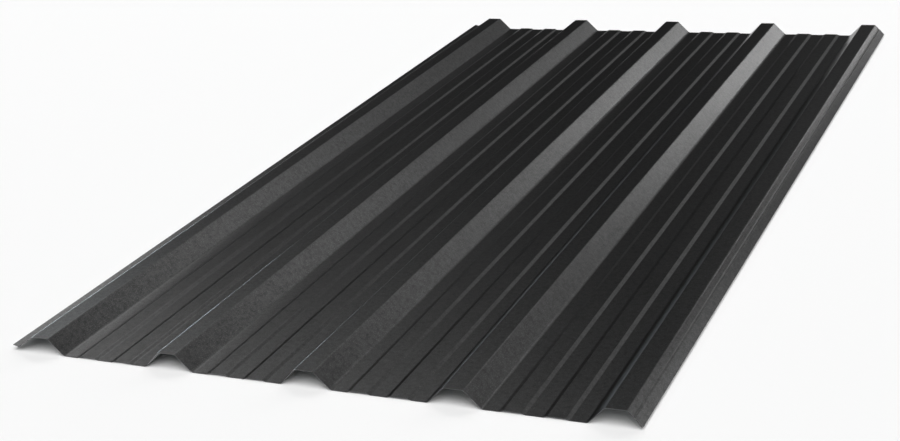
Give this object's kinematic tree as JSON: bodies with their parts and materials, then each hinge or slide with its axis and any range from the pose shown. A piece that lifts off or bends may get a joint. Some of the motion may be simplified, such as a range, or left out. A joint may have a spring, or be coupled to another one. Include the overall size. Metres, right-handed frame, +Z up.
{
  "type": "box profile roofing sheet",
  "caption": "Trapezoidal box profile roofing sheet of dark coated steel, with flat-crowned ribs, shallow swages in the pans, and overlap and underlap edges.",
  "frame": {"origin": "middle of the sheet's overall width and length, at the level of the pans' underside", "axes": "+X across the sheet from the overlap edge to the underlap edge, +Y along the ribs from the near cut end to the far one, +Z up, out of the crowns"},
  "size_m": [1.098, 2, 0.0287],
  "materials": {
    "coated_steel": "satin, fine leathergrain"
  },
  "bodies": {
    "root": {"sheet": "coated_steel"}
  },
  "joints": []
}
